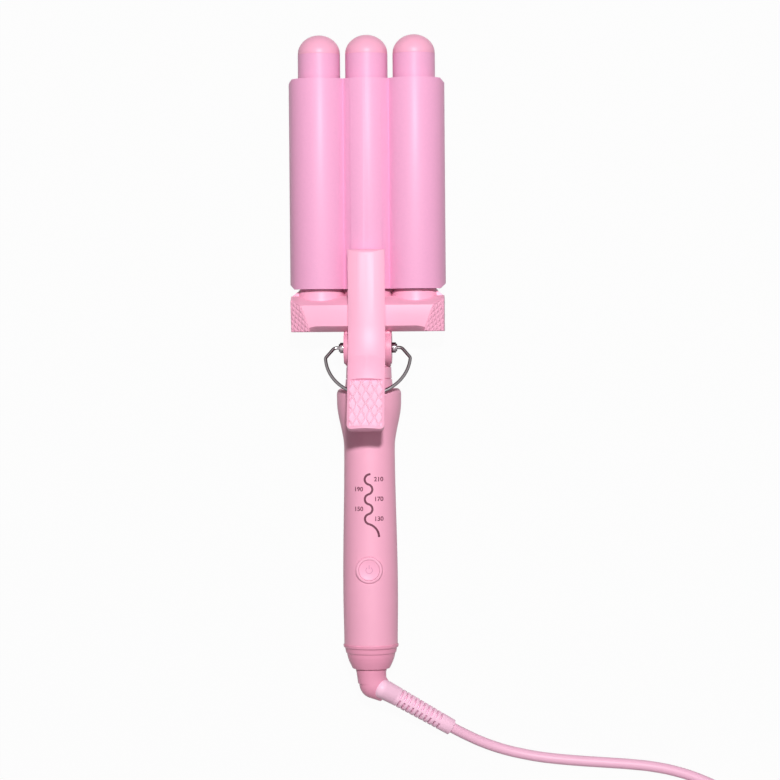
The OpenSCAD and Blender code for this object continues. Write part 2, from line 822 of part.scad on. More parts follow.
module swivel_elbow() {
    color(handle_pink) {
        difference() {
            union() {
                rod_y(11.4, -189.9, -187);
                rod_y(stem_r, elbow_c[1], -189.9 + small);
            }
            rod_y(5, -205, -180);
        }
        hull() {
            translate(elbow_c) sphere(r = stem_r - 0.1, $fn = 40);
            on_relief() translate([0, 0, relief_seat - 1]) cylinder(r = 6.3, h = 1, $fn = 40);
        }
    }
}

relief_r0 = 5.9;
relief_r1 = 4.65;
module strain_relief() {
    slots = 10;
    slot_pitch = 3;
    slot_w = 1.3;
    color(cord_pink) on_relief() difference() {
        translate([0, 0, relief_seat]) cylinder(r1 = relief_r0, r2 = relief_r1, h = relief_len - relief_seat);
        for (k = [0 : slots - 1], s = [-1, 1]) {
            z = 8 + k * slot_pitch + (s > 0 ? slot_pitch / 2 : 0);
            translate([-10, s > 0 ? 2.3 : -12.3, z]) cube([20, 10, slot_w]);
        }
    }
}

cord_r = cord_d / 2;
floor_z = cord_r;
coil_centre = [203, -342];
coil_layers = 2;
coil_wide = 4;
cord_route = [
    relief_end, [51, -248.8, 9], [57.5, -252.3, 7.4], [64.5, -255.7, 5.9], [72.5, -258.9, 4.6],
    [81, -261.6, 3.7], [90, -263.7, 3.25], [100, -265.5, 3.2], [112, -266.9, 3.2], [125, -268, 3.2],
    [140, -269, 3.2], [154, -270, 3.2], [168, -271.6, 3.2], [182, -274.6, 3.2], [195, -279, 3.2],
    [207, -284.6, 3.2], [218, -291.6, 3.2], [228, -299.8, 3.2], [236.9, -308.1, 3.2]
];
plug_back = [121, -352, 6.9];
tail_route = [
    [169.1, -375.9, 9.6], [162.4, -369.4, 9.4], [155.4, -363.2, 8.9], [147.6, -357.9, 8.2],
    [139, -354.2, 7.5], [130, -352.4, 7], plug_back
];
module cord() {
    color(cord_pink) {
        tube_along(cord_route, cord_r - small, 10);
        tube_along(tail_route, cord_r - small, 10);
    }
}

module cord_coil() {
    mid = coil_wide * cord_d / 2;
    color(cord_pink) translate([coil_centre[0], coil_centre[1], 0]) rotate_extrude()
        translate([coil_mid_r - mid, 0]) square([2 * mid, coil_layers * cord_d]);
}

// Flat two-pin plug lying on its side, with its pins towards -X
plug_t = 13.7;
plug_len = 34;
pin_gap = 18.6;
module mains_plug() {
    x0 = plug_back[0];
    color(cord_pink) {
        translate([x0 - 2, plug_back[1], plug_back[2]]) rotate([0, 90, 0]) cylinder(r1 = 5.2, r2 = 3.9, h = 14);
        translate([x0 - 1, plug_back[1], plug_back[2] - plug_t / 2]) rotate([0, 0, 180])
            linear_extrude(height = plug_t) difference() {
                polygon([[0, -7], [0, 7], [9, 11], [16, 17.65], [plug_len, 17.65],
                    [plug_len, -17.65], [16, -17.65], [9, -11]]);
                for (s = [-1, 1]) translate([4, s * 26]) circle(r = 16.5);
            }
    }
}

module mains_pins() {
    color(chrome) for (s = [-1, 1]) {
        x = plug_back[0] - 1 - plug_len;
        rod_x(2, x - 18.4, x, plug_back[1] + s * pin_gap / 2, plug_back[2]);
        translate([x - 18.4, plug_back[1] + s * pin_gap / 2, plug_back[2]]) rotate([0, -90, 0])
            cylinder(r1 = 2, r2 = 1.4, h = 0.6);
    }
}

handle_front_shell();
handle_back_shell();
handle_screws();
end_ring();
socket_liner();
contact_block();
socket_contacts();
heater_leads();
circuit_board();
tact_switch();
indicator_leds();
button_bezel();
power_leads();
swivel_retainer();
power_button();
crosspiece_front();
crosspiece_back();
head_screws();
hinge_neck();
locking_collar();
plug_body();
plug_pins();
head_wiring();
barrel(-1);  // barrel_left
barrel(0);  // barrel_centre
barrel(1);  // barrel_right
barrel_tip(-1);  // tip_left
barrel_tip(0);  // tip_centre
barrel_tip(1);  // tip_right
heat_collar(-1);  // heat_collar_left
heat_collar(0);  // heat_collar_centre
heat_collar(1);  // heat_collar_right
heater(-1);  // heater_left
heater(0);  // heater_centre
heater(1);  // heater_right
hinge_pin();
hinge_bushes();
clamp_spring();
clamp_plate();
thumb_lever();
thumb_pad();
clamp_screws();
wire_stand();
swivel_elbow();
strain_relief();
cord();
cord_coil();
mains_plug();
mains_pins();
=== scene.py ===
"""Looks of a three-barrel hair waver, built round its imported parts."""

import json
import math

import bmesh
import bpy
from bpy.props import FloatProperty, FloatVectorProperty, IntProperty, PointerProperty, StringProperty
from mathutils import Matrix, Vector

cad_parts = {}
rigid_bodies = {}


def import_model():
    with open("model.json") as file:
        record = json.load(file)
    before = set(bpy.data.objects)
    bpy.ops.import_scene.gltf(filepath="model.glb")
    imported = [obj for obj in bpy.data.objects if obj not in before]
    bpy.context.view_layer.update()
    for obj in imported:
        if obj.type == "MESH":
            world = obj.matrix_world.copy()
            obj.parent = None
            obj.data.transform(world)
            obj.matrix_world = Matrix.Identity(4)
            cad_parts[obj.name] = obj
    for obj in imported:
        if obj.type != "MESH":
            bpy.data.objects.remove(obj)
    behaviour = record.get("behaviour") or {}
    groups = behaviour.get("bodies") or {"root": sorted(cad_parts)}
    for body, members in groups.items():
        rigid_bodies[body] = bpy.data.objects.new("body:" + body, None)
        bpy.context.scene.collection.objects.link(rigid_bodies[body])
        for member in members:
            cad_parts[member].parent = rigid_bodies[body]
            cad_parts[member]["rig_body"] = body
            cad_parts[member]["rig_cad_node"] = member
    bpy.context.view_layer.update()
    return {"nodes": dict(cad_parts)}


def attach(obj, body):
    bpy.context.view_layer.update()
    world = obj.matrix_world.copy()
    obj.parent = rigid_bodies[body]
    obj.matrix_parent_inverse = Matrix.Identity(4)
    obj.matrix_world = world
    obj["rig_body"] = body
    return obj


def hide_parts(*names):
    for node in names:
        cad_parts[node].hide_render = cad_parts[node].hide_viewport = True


bl_info = {
    "name": "Hair Waver",
    "version": (1, 0, 0),
    "blender": (4, 5, 0),
    "location": "View3D > Sidebar > Waver",
    "description": "Dresses the parts of a hair waver",
    "category": "Object",
}

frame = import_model()

MM = 0.001

# Places and sizes below are in mm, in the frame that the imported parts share
AXIS_Z = 19.0  # height of the handle's axis
PIVOT = (-20.0, 26.0)  # y and z of the hinge pin
LAYOUT_Z = 60.0  # height over the handle at which prints are drawn flat before they are laid

# Strain relief and lead
RELIEF_START = (6.5, -222.0, 18.4)  # on the elbow's axis, where the relief begins
RELIEF_END = (44.4, -245.0, 10.5)  # where the lead comes into view
RELIEF_TIP = (47.0, -246.5, 10.0)  # end of the relief's sleeve, a little way along the lead
RELIEF_R = (5.75, 4.85)  # radius of the sleeve at its start and end
RELIEF_SEAT = 2.0  # from the relief's start to its sleeve
SLOTS, FIRST_SLOT, SLOT_PITCH = 10, 11.2, 3.05  # slots in a row, place of the first, distance between two
SLOT_STAGGER = 0.4  # each row is off by this, one way or the other
SLOT_WIDTH, SLOT_DEPTH = 1.1, 2.1
RIB_HALF = 0.75  # half of the rib between the rows
ROOT_R = (5.9, 5.7)
ROOT_BACK, ROOT_FRONT, ROOT_LIFT = 5.2, 8.0, 5.0  # the root's ends, from the relief's start
ROOT_ROUND = 5.5
ELBOW_CUTS = (-211.0, -212.0)  # y of the elbow's step under the end ring
ELBOW_STEPS = ((-211.5, 0.965, (0.0, 0.0, 0.0)), (-214.0, 0.945, (0.5, -1.2, 0.0)))  # below y, scale, shift
CORD_D = 6.4
CORD_ROUTE = [
    RELIEF_END, (51, -248.8, 9), (57.5, -252.3, 7.4), (64.5, -255.7, 5.9), (72.5, -258.9, 4.6),
    (81, -261.6, 3.7), (90, -263.7, 3.25), (100, -265.5, 3.2), (112, -266.9, 3.2), (125, -268, 3.2),
    (140, -269, 3.2), (154, -270, 3.2), (168, -271.6, 3.2), (182, -274.6, 3.2), (195, -279, 3.2),
    (207, -284.6, 3.2), (218, -291.6, 3.2), (228, -299.8, 3.2),
]
COIL_CENTRE = (203.0, -342.0)
COIL_R = 48.0  # radius of the coil's outermost turn
COIL_START = 45.0  # degrees at which the coil begins
COIL_STEPS = 24  # points in one turn
MOVE_AT, MOVE_TURN = 0.62, 0.36  # when in a turn the lead moves over, and how much of the turn that takes
CLIMB_TURN = 0.42  # how much of a turn the climb to the upper layer takes
TAIL_ROUTE = [
    (162.4, -369.4, 9.4), (155.4, -363.2, 8.9), (147.6, -357.9, 8.2), (139, -354.2, 7.5),
    (130, -352.4, 7), (121, -352, 6.9),
]
TIE_MIDDLE = (COIL_CENTRE[0] + 38.4, COIL_CENTRE[1], CORD_D + 0.35)
TIE_SIZE = (25.56, 12.0, 13.5)

# Handle
RING_GAIN = 1.045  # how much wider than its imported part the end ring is
BUTTON_Y = -150.5
SIGN_RING, SIGN_STROKE = 1.9, 0.5
SIGN_FOOT, SIGN_BAR = 1.1, 1.6  # where the power sign's bar starts, and its length
SIGN_GAP = 40.0  # half of the gap in the power sign's ring, degrees
SCALE_TOP = -94.3  # y where the heat scale's line starts to swing
SCALE_PITCH = 5.8
SCALE_STROKE = 1.25
SCALE_SWEEP = 150.0  # degrees that each bend of the line turns
SCALE_END = (8.0, 75.0)  # radius and degrees of its last bend
SCALE_NUMBERS = (210, 190, 170, 150, 130)  # one in each bend, from the head's end
NUMBER_SIZE = 3.6
NUMBER_X = 5.9
NUMBER_WEIGHT = 0.07  # how much bolder than the plain font the numbers are
INK_LIFT, INK_THICK = 0.05, 0.04

# Head
BARREL_R = 12.5
TIP_TOP = 164.5  # y of the tips' ends
DOME_H = 11.2  # height of a tip's dome
BEVEL_DROP = 5.0  # how far the lower edge of the crosspiece's bevel goes down
LEG_Z, LEG_DROP = 42.0, 3.2  # the spring's upper leg is what lies above the one, and goes down by the other
WEB_MIDDLE = (14.0, 12.9, 13.5)
WEB_SIZE = (8.0, 4.4, 13.0)
GRIP_DIAMOND = (3.1, 4.6)  # one diamond of the crosspiece's ends, across and along
GRIP_RISE, GRIP_THICK = 0.45, 0.5
GRIP_AT = (36.0, -2.0, 38.02)
GRIP_LEAN = math.atan((38.5 - 33.5) / 14)  # turn of the slanted end about Z
GRIP_TILT = math.radians(38.0)  # its slope
GRIP_EDGES = (  # where the diamonds end, as points and outward directions
    ((44.6, 0, 0), (1, 0, 0)), ((0, 4.7, 38), (0, 1.98, 1)),
    ((0, -10.1, 0), (0, -1, 0)), ((30.0, -6.9, 38), (-3.3, -14.6, 14.6)),
)

# Clamp
LEVER_SLOPE = 25.0  # degrees
PAD_MIDDLE = (-51.733, 58.342)  # y and z of the middle of the pad's top
PAD_HALF, PAD_LEN, PAD_THICK = 9.45, 29.46, 1.4
PAD_DIAMOND = (5.1, 8.7)
PAD_RIDGE, PAD_FLANK, PAD_SINK = 0.16, 0.42, 0.85  # half of a ridge, its flank, and the diamonds' depth
PLATE_CUT = 1.1  # taken off the plate's far end
PLATE_CORNERS = (3.0, 2.4)  # length of the corner cuts at the near and the far end

# Wire stand
STAND_REACH = 30.1  # from the pin to the middle of the bow
STAND_TILT = 26.3  # degrees below level
STAND_BENDS = ((25.0, 85.0, 28), (1.8, 128.0, 8), (3.0, 180.0, 8))  # radius, heading after it, steps
STAND_END = 6.6  # x of the wire's ends, inside the pin's bushes
WIRE_R = 0.99

# Lamps: name, place and size in metres, and watts
LAMPS = (
    ("key_light", (0.2, 0.7, 2.2), (0.16, 0.16), 49.0),
    ("soft_light", (0.1, -0.2, 1.8), (1.8, 1.6), 8.0),
)
ROOM_GLOW = 0.06  # strength of the light that comes from all sides
SHADE_TINT = (1.0, 0.4, 0.55, 1.0)
WHITE = (1.0, 1.0, 1.0, 1.0)
FLOOR_WHITE = 0.965  # how much of the floor's look is plain white
FLOOR_SIZE, FLOOR_Z = 6.0, -0.0002  # metres
SENSOR = 36.0  # width of the camera's sensor


# ---- sizes and colours a user would change ----


class WaverColours(bpy.types.PropertyGroup):
    """Colours of the finishes, as sRGB hex"""

    coating: StringProperty(
        name="Coating", description="Ceramic coating of the barrels and the plate", default="#eca9cd"
    )
    head: StringProperty(name="Head", description="Crosspiece, tips and lever", default="#f2adc8")
    handle: StringProperty(name="Handle", description="Shells of the handle", default="#eeabc4")
    # The ring colour is the deeper pink of the end ring and elbow; on the neck and the boss webs it is
    # painted shade
    ring: StringProperty(name="Ring", description="End ring, swivel elbow and neck", default="#e79cb7")
    pad: StringProperty(name="Pad", description="Thumb pad", default="#efbcd2")
    lead: StringProperty(name="Lead", description="Mains lead and its plug", default="#ecb8d0")
    # The relief's colour is the lead's pink made lighter: painted light, for the relief catches more light
    # than the lead
    relief: StringProperty(name="Relief", description="Strain relief of the lead", default="#f6c8df")
    ink: StringProperty(name="Ink", description="Print of the heat scale", default="#5e1f3a")
    sign: StringProperty(name="Sign", description="Power sign on the button", default="#d08fae")
    floor: StringProperty(name="Floor", description="Floor under the waver", default="#a2a2a2")


class WaverSizes(bpy.types.PropertyGroup):
    """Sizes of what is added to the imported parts"""

    edge: FloatProperty(
        name="Edge", description="Rounding of the moulded edges", default=0.4 * MM, unit="LENGTH"
    )
    shell_edge: FloatProperty(
        name="Shell edge", description="Rounding of the shells and collar", default=0.25 * MM, unit="LENGTH"
    )
    turned_edge: FloatProperty(
        name="Turned edge", description="Rounding of the tips and end ring", default=0.2 * MM, unit="LENGTH"
    )
    plate_edge: FloatProperty(
        name="Plate edge", description="Rounding of the plate's rim", default=0.5 * MM, unit="LENGTH"
    )
    plug_edge: FloatProperty(
        name="Plug edge", description="Rounding of the mains plug", default=1.0 * MM, unit="LENGTH"
    )
    cord_d: FloatProperty(name="Lead", description="Diameter of the lead", default=CORD_D * MM, unit="LENGTH")
    coil_turns_in: IntProperty(name="Turns", description="Turns in the lower layer of the coil", default=4)


class WaverStage(bpy.types.PropertyGroup):
    """Camera and lamps"""

    look_at: FloatVectorProperty(
        name="Look at", description="Point in the middle of the view", default=(0.01269, -0.045, 0.025),
        subtype="XYZ", unit="LENGTH",
    )
    distance: FloatProperty(
        name="Distance", description="From the camera to that point", default=1.5, unit="LENGTH"
    )
    lean_x: FloatProperty(
        name="Lean right", description="Lean of the view towards +X", default=math.radians(2.4),
        subtype="ANGLE",
    )
    lean_y: FloatProperty(
        name="Lean up", description="Lean of the view towards +Y", default=math.radians(1.13),
        subtype="ANGLE",
    )
    roll: FloatProperty(name="Roll", description="Turn of the picture", default=0.00814, subtype="ANGLE")
    width: FloatProperty(
        name="View width", description="Width of the view at that point", default=0.45955, unit="LENGTH"
    )


# ---- helpers ----


def linear(hex_colour):
    """sRGB hex as linear RGBA."""
    channels = [int(hex_colour[i : i + 2], 16) / 255 for i in (1, 3, 5)]
    return tuple(c / 12.92 if c <= 0.04045 else ((c + 0.055) / 1.055) ** 2.4 for c in channels) + (1.0,)


def shade(hex_colour, gain):
    """The colour made lighter or darker, as hex."""
    channels = (round(int(hex_colour[i : i + 2], 16) * gain) for i in (1, 3, 5))
    return "#" + "".join(f"{min(255, c):02x}" for c in channels)


def add_node(tree, kind, values=None, links=None, **settings):
    """Adds a node, with its settings, input values and links from other nodes' outputs."""
    made = tree.nodes.new(kind)
    for key, value in settings.items():
        setattr(made, key, value)
    for key, value in (values or {}).items():
        made.inputs[key].default_value = value
    for key, output in (links or {}).items():
        tree.links.new(output, made.inputs[key])
    return made


def select_only(obj):
    """Deselects everything, then selects obj and makes it active."""
    bpy.ops.object.select_all(action="DESELECT")
    obj.hide_set(False)
    obj.select_set(True)
    bpy.context.view_layer.objects.active = obj


def apply_modifier(obj, kind, **settings):
    """Adds a modifier and applies it."""
    select_only(obj)
    made = obj.modifiers.new(kind.title(), kind)
    for key, value in settings.items():
        setattr(made, key, value)
    bpy.ops.object.modifier_apply(modifier=made.name)


def smooth(obj, degrees=32):
    """Smooth shading across edges flatter than the angle."""
    select_only(obj)
    bpy.ops.object.shade_smooth_by_angle(angle=math.radians(degrees))


def settle(obj):
    """Puts the object's place into its mesh."""
    select_only(obj)
    bpy.ops.object.transform_apply(location=True, rotation=True, scale=True)


def dress(obj, material, body, slot, *nodes):
    """Gives a finished piece its material, its body and the nodes it stands for."""
    obj.data.materials.clear()
    obj.data.materials.append(material)
    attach(obj, body)
    if nodes:
        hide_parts(*nodes)
    return obj


def moulding(node, name, edge, body, material, slot, shading=32, reshape=None):
    """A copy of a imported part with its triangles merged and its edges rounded, as a mould leaves them."""
    source = frame["nodes"][node]
    select_only(source)
    bpy.ops.object.duplicate()
    piece = bpy.context.view_layer.objects.active
    piece.name = piece.data.name = name
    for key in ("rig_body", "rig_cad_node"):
        if key in piece:
            del piece[key]
    piece.parent = None
    piece.matrix_world = Matrix.Identity(4)
    bpy.ops.object.mode_set(mode="EDIT")
    bpy.ops.mesh.select_all(action="SELECT")
    bpy.ops.mesh.customdata_custom_splitnormals_clear()
    bpy.ops.mesh.remove_doubles(threshold=1e-6)
    bpy.ops.mesh.dissolve_limited(angle_limit=math.radians(0.3))
    if reshape:
        reshape(piece)
    bpy.ops.object.mode_set(mode="OBJECT")
    if edge:
        apply_modifier(
            piece, "BEVEL", width=edge, segments=3, limit_method="ANGLE",
            angle_limit=math.radians(28.0), use_clamp_overlap=True,
        )
    smooth(piece, shading)
    return dress(piece, material, body, slot, node)


def start_piece(name, primitive, **settings):
    """Adds a primitive with nothing else selected, and names it."""
    bpy.ops.object.select_all(action="DESELECT")
    primitive(**settings)
    piece = bpy.context.object
    piece.name = piece.data.name = name
    return piece


def pick(obj, kind, test):
    """In edit mode, selects only the verts, edges or faces that pass the test."""
    bpy.ops.mesh.select_mode(type={"verts": "VERT", "edges": "EDGE", "faces": "FACE"}[kind])
    bpy.ops.mesh.select_all(action="DESELECT")
    mesh = bmesh.from_edit_mesh(obj.data)
    for item in getattr(mesh, kind):
        item.select_set(bool(test(item)))
    bmesh.update_edit_mesh(obj.data)


def trim(planes):
    """In edit mode, cuts away what lies beyond each plane, given by a point in mm and its way out."""
    for at, out in planes:
        bpy.ops.mesh.select_all(action="SELECT")
        bpy.ops.mesh.bisect(plane_co=Vector(at) * MM, plane_no=out, clear_outer=True)


def diamond_sheet(name, across, along, cells):
    """A flat sheet of diamonds, each across by along in mm, from a grid of squares turned by 45 degrees."""
    sheet = start_piece(
        name, bpy.ops.mesh.primitive_grid_add, x_subdivisions=cells, y_subdivisions=cells, size=cells * MM,
        rotation=(0.0, 0.0, math.radians(45.0)),
    )
    settle(sheet)
    sheet.scale = (across / math.sqrt(2.0), along / math.sqrt(2.0), 1.0)
    settle(sheet)
    return sheet


# ---- finishes ----


def principled(name):
    """A new material with its shader and Object coordinates in metres."""
    made = bpy.data.materials.new(name)
    made.use_nodes = True
    tree = made.node_tree
    shader = tree.nodes["Principled BSDF"]
    place = add_node(tree, "ShaderNodeTexCoord").outputs["Object"]
    return made, tree, shader, place


def noise(tree, place, scale, detail=2.0):
    """A noise with the scale, in patches per metre."""
    made = add_node(tree, "ShaderNodeTexNoise", {"Scale": scale, "Detail": detail}, {"Vector": place})
    return made.outputs["Fac"]


def spread(tree, value, low, high):
    """A value of 0 to 1 spread from low to high."""
    made = add_node(tree, "ShaderNodeMapRange", {"To Min": low, "To Max": high}, {"Value": value})
    return made.outputs["Result"]


def blend(tree, first, second, factor):
    """A mix of two colours, that goes from the first to the second as the factor goes from 0 to 1."""
    # A Mix node that is set to colours takes them at inputs 6 and 7, and gives the mix at output 2
    return add_node(tree, "ShaderNodeMix", {6: first, 7: second}, {0: factor}, data_type="RGBA").outputs[2]


def uneven(tree, shader, colour, patches, darkest, lightest):
    """Lets the base colour drift between a darker and a lighter shade of it."""
    tint = blend(tree, linear(shade(colour, darkest)), linear(shade(colour, lightest)), patches)
    tree.links.new(tint, shader.inputs["Base Color"])


def rise(tree, shader, height, strength, depth_mm):
    """Gives the surface the relief of the height."""
    values = {"Strength": strength, "Distance": depth_mm * MM}
    made = add_node(tree, "ShaderNodeBump", values, {"Height": height})
    tree.links.new(made.outputs["Normal"], shader.inputs["Normal"])


def moulded_plastic(name, colour, roughness, grain_mm, depth_mm, gloss=0.3):
    """Injection-moulded plastic: slow colour drift of the melt, and the grain of a spark-eroded mould."""
    made, tree, shader, place = principled(name)
    uneven(tree, shader, colour, noise(tree, place, 45.0, 3.0), 0.985, 1.015)
    grain = noise(tree, place, 1 / (grain_mm * MM))
    rise(tree, shader, grain, 0.35, depth_mm)
    tree.links.new(spread(tree, grain, roughness - 0.03, roughness + 0.03), shader.inputs["Roughness"])
    shader.inputs["IOR"].default_value = 1.5
    shader.inputs["Specular IOR Level"].default_value = gloss
    return made


def ceramic_coating(name, colour):
    """Tourmaline ceramic sprayed on aluminium: a pearly gloss over a faint spray mottle."""
    made, tree, shader, place = principled(name)
    mottle = noise(tree, place, 600.0, 3.0)
    uneven(tree, shader, colour, mottle, 0.985, 1.012)
    rise(tree, shader, mottle, 0.12, 0.01)
    shader.inputs["Roughness"].default_value = 0.45
    shader.inputs["Specular IOR Level"].default_value = 0.25
    shader.inputs["Coat Weight"].default_value = 0.06
    shader.inputs["Coat Roughness"].default_value = 0.3
    return made


def drawn_metal(name, colour, roughness, across=(1.0, 1.0, 1.0)):
    """Plated or bare metal with the faint lines of drawing or turning."""
    made, tree, shader, place = principled(name)
    stretched = add_node(tree, "ShaderNodeMapping", {"Scale": across}, {"Vector": place})
    lines = noise(tree, stretched.outputs["Vector"], 2500.0)
    rough = spread(tree, lines, max(0.03, roughness - 0.05), roughness + 0.05)
    tree.links.new(rough, shader.inputs["Roughness"])
    shader.inputs["Base Color"].default_value = linear(colour)
    shader.inputs["Metallic"].default_value = 1.0
    return made


def bright_chrome(name, front, flank):
    """Chrome plate on round steel, with a painted reflection: the base colour is light where the wire faces
    the eye and dark on its flanks, standing for the mirror image of a dim room.
    """
    made = drawn_metal(name, front, 0.12)
    tree = made.node_tree
    turn = add_node(tree, "ShaderNodeLayerWeight", {"Blend": 0.4})
    ramp = add_node(
        tree, "ShaderNodeMapRange", {"From Min": 0.08, "From Max": 0.45}, {"Value": turn.outputs["Facing"]}
    )
    # Painted reflection: the base colour goes from the light front shade to the dark flank shade as the
    # surface turns away
    tint = blend(tree, linear(front), linear(flank), ramp.outputs["Result"])
    tree.links.new(tint, tree.nodes["Principled BSDF"].inputs["Base Color"])
    return made


def printed_ink(name, colour):
    """Pad-printed ink: flat, matt and a little uneven."""
    made, tree, shader, place = principled(name)
    uneven(tree, shader, colour, noise(tree, place, 2000.0), 0.9, 1.1)
    shader.inputs["Roughness"].default_value = 0.6
    return made


FINISHES = {}  # made by waver.finishes, used by all that come after it
PIECES = {}  # finished pieces that a later operator needs


class WAVER_OT_finishes(bpy.types.Operator):
    """Makes the finishes, and gives the parts that show as they are theirs"""

    bl_idname = "waver.finishes"
    bl_label = "Finishes"

    def execute(self, context):
        c = context.scene.waver_colours
        f = FINISHES
        f["coating"] = ceramic_coating("ceramic_coated_aluminium", c.coating)
        f["head"] = moulded_plastic("heat_resistant_pbt", c.head, 0.4, 0.35, 0.012)
        f["lever"] = moulded_plastic("polished_pbt", c.head, 0.5, 0.35, 0.006, 0.75)
        f["handle"] = moulded_plastic("satin_abs", c.handle, 0.46, 0.35, 0.012)
        # The deeper ring finish is also painted shade on the neck and the boss webs
        f["ring"] = moulded_plastic("satin_abs_deep", c.ring, 0.42, 0.35, 0.012)
        f["pad"] = moulded_plastic("soft_grip_tpe", c.pad, 0.55, 0.3, 0.012)
        f["lead"] = moulded_plastic("smooth_pvc", c.lead, 0.42, 0.6, 0.01)
        # A lighter copy of the lead's PVC, which is painted light on the relief
        f["relief"] = moulded_plastic("flexible_pvc", c.relief, 0.42, 0.6, 0.01)
        f["ink"] = printed_ink("pad_print_ink", c.ink)
        f["sign"] = printed_ink("pale_print_ink", c.sign)
        # Both chromes carry a painted reflection in their base colours, light in front and dark on the flanks
        f["chrome"] = bright_chrome("chromed_spring_wire", "#8f888b", "#332e30")
        f["bush"] = bright_chrome("chromed_steel_bush", "#9a8f94", "#3d2f36")
        f["steel"] = drawn_metal("zinc_plated_steel", "#a3a3a6", 0.35)
        f["nickel"] = drawn_metal("nickel_plated_brass", "#c9c5bb", 0.22, (1.0, 12.0, 12.0))
        f["brass"] = drawn_metal("turned_brass", "#c9a24d", 0.3)
        f["alloy"] = drawn_metal("extruded_aluminium", "#cfcfd2", 0.38, (12.0, 1.0, 12.0))
        f["nylon"] = moulded_plastic("white_nylon", "#f2efec", 0.5, 0.4, 0.012)
        f["black"] = moulded_plastic("black_phenolic", "#2f2f33", 0.5, 0.4, 0.012)
        f["board"] = moulded_plastic("glass_fibre_board", "#2f6b46", 0.45, 0.8, 0.01)
        f["lamp"] = moulded_plastic("clear_epoxy", "#f4efdf", 0.2, 0.8, 0.005)
        f["sleeve"] = moulded_plastic("silicone_sleeve", "#d9d4c8", 0.6, 0.5, 0.01)
        shown = {
            "coating": ["barrel_left", "barrel_centre", "barrel_right"],
            "head": ["heat_collar_left", "heat_collar_centre", "heat_collar_right"],
            "steel": ["handle_screws", "head_screws", "clamp_screws", "hinge_pin"],
            "brass": ["socket_contacts", "plug_pins"],
            "nickel": ["mains_pins"],
            "alloy": ["heater_left", "heater_centre", "heater_right"],
            "nylon": ["socket_liner", "plug_body", "swivel_retainer"],
            "black": ["contact_block", "tact_switch"],
            "board": ["circuit_board"],
            "lamp": ["indicator_leds"],
            "sleeve": ["heater_leads", "power_leads", "head_wiring"],
        }
        for finish, nodes in shown.items():
            for node in nodes:
                materials = frame["nodes"][node].data.materials
                materials.clear()
                materials.append(f[finish])
        return {"FINISHED"}


# ---- stage ----


def seen_white(tree, rays):
    """1 for the rays that show the background itself: from the camera, off gloss and through clear parts."""
    first = add_node(
        tree, "ShaderNodeMath", None, {0: rays.outputs["Is Camera Ray"], 1: rays.outputs["Is Glossy Ray"]},
        operation="MAXIMUM",
    )
    both = add_node(
        tree, "ShaderNodeMath", None, {0: first.outputs[0], 1: rays.outputs["Is Transmission Ray"]},
        operation="MAXIMUM",
    )
    return both.outputs[0]


class WAVER_OT_stage(bpy.types.Operator):
    """Makes the camera, the lamps and the floor"""

    bl_idname = "waver.stage"
    bl_label = "Stage"

    def execute(self, context):
        s = context.scene.waver_stage
        back = Vector((math.tan(s.lean_x), math.tan(s.lean_y), 1.0)).normalized()
        right = Vector((math.sin(s.roll), math.cos(s.roll), 0.0)).cross(back).normalized()
        up = back.cross(right)
        turn = Matrix((right, up, back)).transposed()
        bpy.ops.object.camera_add(location=Vector(s.look_at) + back * s.distance, rotation=turn.to_euler())
        camera = context.object
        camera.name = "camera"
        camera.data.sensor_width = SENSOR
        camera.data.lens = SENSOR / 2 / (s.width / 2 / s.distance)
        camera.data.clip_start, camera.data.clip_end = 0.05, 20.0
        context.scene.camera = camera
        for name, at, size, power in LAMPS:
            aim = (Vector((0.0, -0.03, 0.0)) - Vector(at)).to_track_quat("-Z", "Y").to_euler()
            bpy.ops.object.light_add(type="AREA", location=at, rotation=aim)
            lamp = context.object
            lamp.name = name
            lamp.data.shape = "RECTANGLE"
            lamp.data.size, lamp.data.size_y = size
            lamp.data.energy = power
        world = bpy.data.worlds.new("soft_room")
        context.scene.world = world
        world.use_nodes = True
        tree = world.node_tree
        room = tree.nodes["Background"]
        rays = add_node(tree, "ShaderNodeLightPath")
        white = seen_white(tree, rays)
        tree.links.new(spread(tree, white, ROOM_GLOW, 1.0), room.inputs["Strength"])
        # Shade takes a little of the colour of what stands round the waver
        tree.links.new(blend(tree, SHADE_TINT, WHITE, white), room.inputs["Color"])
        bpy.ops.mesh.primitive_plane_add(size=FLOOR_SIZE, location=(0, 0, FLOOR_Z))
        floor = context.object
        floor.name = "floor"
        settle(floor)
        paper, tree, shader, _ = principled("pale_paper")
        shader.inputs["Base Color"].default_value = linear(context.scene.waver_colours.floor)
        shader.inputs["Roughness"].default_value = 0.9
        shader.inputs["Specular IOR Level"].default_value = 0.1
        rays = add_node(tree, "ShaderNodeLightPath")
        white = add_node(tree, "ShaderNodeEmission", {"Color": WHITE, "Strength": 1.0})
        part = spread(tree, seen_white(tree, rays), 0.0, FLOOR_WHITE)
        both = add_node(
            tree, "ShaderNodeMixShader", None,
            {0: part, 1: shader.outputs["BSDF"], 2: white.outputs["Emission"]},
        )
        tree.links.new(both.outputs["Shader"], tree.nodes["Material Output"].inputs["Surface"])
        floor.data.materials.append(paper)
        return {"FINISHED"}


# ---- lead ----


def smoothed(t):
    """0 to 1, with a soft start and end."""
    t = min(1.0, max(0.0, t))
    return t * t * (3 - 2 * t)


